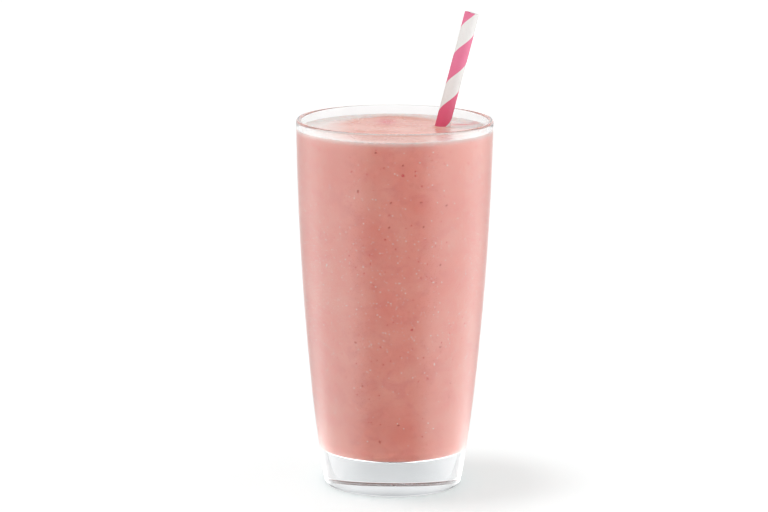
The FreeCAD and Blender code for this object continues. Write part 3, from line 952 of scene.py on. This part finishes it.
# %% [markdown]
# ## Light
# A white tent: the world is soft white light from all round, full in front and below, and dimmer
# above and behind, so that the open surface isn't washed out. Low down behind the glass a strip of
# the backdrop is bright, which is what the clear rim shows. One lamp nearly overhead, a little to
# the left, gives the short soft shadow to the right, and a dim panel fills the right side.
# What makes a drink look round is its reflections: pale at both sides, deep in the middle. White
# boards give them. A small spot brightens the table behind the glass, seen through its clear base.

# %% World and lamps
FRONT_LEVEL = 1.30
OVERHEAD_LEVEL = 0.55
STRIP_LEVEL = 0.75


def smooth_step(tree, value, start, end, first=0.0, last=1.0):
    """From the first to the last value as the input goes from start to end, gently at both ends."""
    return node(tree, "ShaderNodeMapRange", {0: value, 1: start, 2: end, 3: first, 4: last},
                interpolation_type="SMOOTHSTEP").outputs[0]


def studio_world():
    """Brightness by direction: full in front and below, dimmer above and behind, a bright low strip.

    The direction's backward part times 0.75, plus its upward part, goes through a smooth step. The
    strip is a smooth step of the backward part times one of the upward part.
    """
    world = bpy.data.worlds.new("white_tent")
    world.use_nodes = True
    tree = world.node_tree
    outwards = node(tree, "ShaderNodeTexCoord").outputs["Generated"]
    direction = node(tree, "ShaderNodeSeparateXYZ", {0: outwards})
    leaning = math_node(tree, "MULTIPLY_ADD", direction.outputs[1], 0.75, direction.outputs[2])
    level = smooth_step(tree, leaning, -0.55, 0.40, FRONT_LEVEL, OVERHEAD_LEVEL)
    behind = smooth_step(tree, direction.outputs[1], 0.5, 0.95)
    low = smooth_step(tree, direction.outputs[2], 0.25, 0.6, 1.0, 0.0)
    strip = math_node(tree, "MULTIPLY", behind, low)
    level = math_node(tree, "MULTIPLY_ADD", strip, STRIP_LEVEL, level)
    tree.links.new(level, tree.nodes["Background"].inputs["Strength"])
    tree.nodes["Background"].inputs["Color"].default_value = (1, 1, 1, 1)
    bpy.context.scene.world = world


def softbox(name, place, aim, size, radiance):
    """A rectangular lamp at a place, turned towards an aim, all in metres, unseen by the camera.

    Blender spreads a lamp's power evenly over its area and the half space before it, so its power
    is the radiance wanted times its area times pi.
    """
    data = bpy.data.lights.new(name, "AREA")
    data.shape = "RECTANGLE"
    data.size, data.size_y = size
    data.energy = radiance * size[0] * size[1] * math.pi
    lamp = bpy.data.objects.new(name, data)
    lamp.location = place
    lamp.rotation_euler = (Vector(aim) - Vector(place)).to_track_quat("-Z", "Y").to_euler()
    lamp.visible_camera = False
    bpy.context.scene.collection.objects.link(lamp)
    return lamp


def bounce_boards(width, depth, left, right):
    """A sheet of light on the table that shows only as soft reflections at the left and right.

    It stands for white boards beside the glass. Its strength is a smooth step of the sideways share
    of the way from the glass: nothing in front and behind, and everything at the sides. It fades
    again towards the back, and is multiplied by a radiance that goes evenly from the left one to
    the right one. The lamp faces up, so its own first parameter runs from right to left.
    """
    boards = softbox("bounce_boards", (0, 0, 0.001), (0, 0, 1), (width, depth), 1.0)
    boards.visible_diffuse = False
    boards.visible_transmission = False
    boards.data.use_nodes = True
    tree = boards.data.node_tree
    on_lamp = node(tree, "ShaderNodeNewGeometry").outputs["Parametric"]
    place = node(tree, "ShaderNodeSeparateXYZ", {0: on_lamp})
    side = math_node(tree, "MULTIPLY_ADD", place.outputs[0], -width, width / 2)
    back = math_node(tree, "MULTIPLY_ADD", place.outputs[1], depth, -depth / 2)
    angle = math_node(tree, "ARCTAN2", side, back)
    share = math_node(tree, "SINE", angle)
    level = smooth_step(tree, math_node(tree, "ABSOLUTE", share), 0.35, 0.95)
    fade = smooth_step(tree, math_node(tree, "COSINE", angle), 0.2, 1.0, 1.0, 0.0)
    level = math_node(tree, "MULTIPLY", level, fade)
    radiance = node(tree, "ShaderNodeMapRange", {0: share, 1: -1.0, 2: 1.0, 3: left, 4: right}).outputs[0]
    tree.links.new(math_node(tree, "MULTIPLY", level, radiance), tree.nodes["Emission"].inputs["Strength"])


def floor_spot(place, aim, power, cone):
    """A small soft spot lamp, in metres and watts, whose cone of light has no hard edge."""
    data = bpy.data.lights.new("floor_spot", "SPOT")
    data.energy = power
    data.spot_size = cone
    data.spot_blend = 1.0
    data.shadow_soft_size = 0.02
    lamp = bpy.data.objects.new("floor_spot", data)
    lamp.location = place
    lamp.rotation_euler = (Vector(aim) - Vector(place)).to_track_quat("-Z", "Y").to_euler()
    bpy.context.scene.collection.objects.link(lamp)


# %% Set the lights up
studio_world()
key = softbox("key_softbox", (-0.22, 0.0, 1.3), (0, 0, 0.05), (0.26, 0.26), 20.0)
key.visible_glossy = False
softbox("right_panel", (1.0, 0.0, 0.40), (0, 0, 0.1), (0.8, 0.6), 0.8)
bounce_boards(FLOOR_SIDE * MM, FLOOR_SIDE * MM, 2.35, 2.6)
floor_spot((0, 0.32, 0.28), (0, 0.055, 0), 0.7, math.radians(12))

# %% [markdown]
# ## Camera
# A long lens from 1.4 m away looks about eleven degrees down, so the upright sides hardly converge
# and the rim shows as a narrow ellipse. The tiny roll and turn are part of the framing.

# %% The camera
scene = bpy.context.scene
CAMERA_DISTANCE = 1.4
CAMERA_HEIGHT = 0.3698
PITCH = math.radians(11.14)
YAW = math.radians(0.166)
ROLL = math.radians(0.309)
FOCAL_LENGTH = 164.4
lens = bpy.data.cameras.new("camera")
lens.sensor_width = 36.0
lens.lens = FOCAL_LENGTH
lens.clip_end = 50.0
camera = bpy.data.objects.new("camera", lens)
scene.collection.objects.link(camera)
turned = (Matrix.Rotation(YAW, 4, "Z") @ Matrix.Rotation(math.pi / 2 - PITCH, 4, "X")
          @ Matrix.Rotation(ROLL, 4, "Z"))
camera.matrix_world = Matrix.Translation((0, -CAMERA_DISTANCE, CAMERA_HEIGHT)) @ turned
scene.camera = camera
scene.view_settings.view_transform = "Standard"
print("camera: %.1f mm lens, %.2f m away, %.2f m up" % (FOCAL_LENGTH, CAMERA_DISTANCE, CAMERA_HEIGHT))
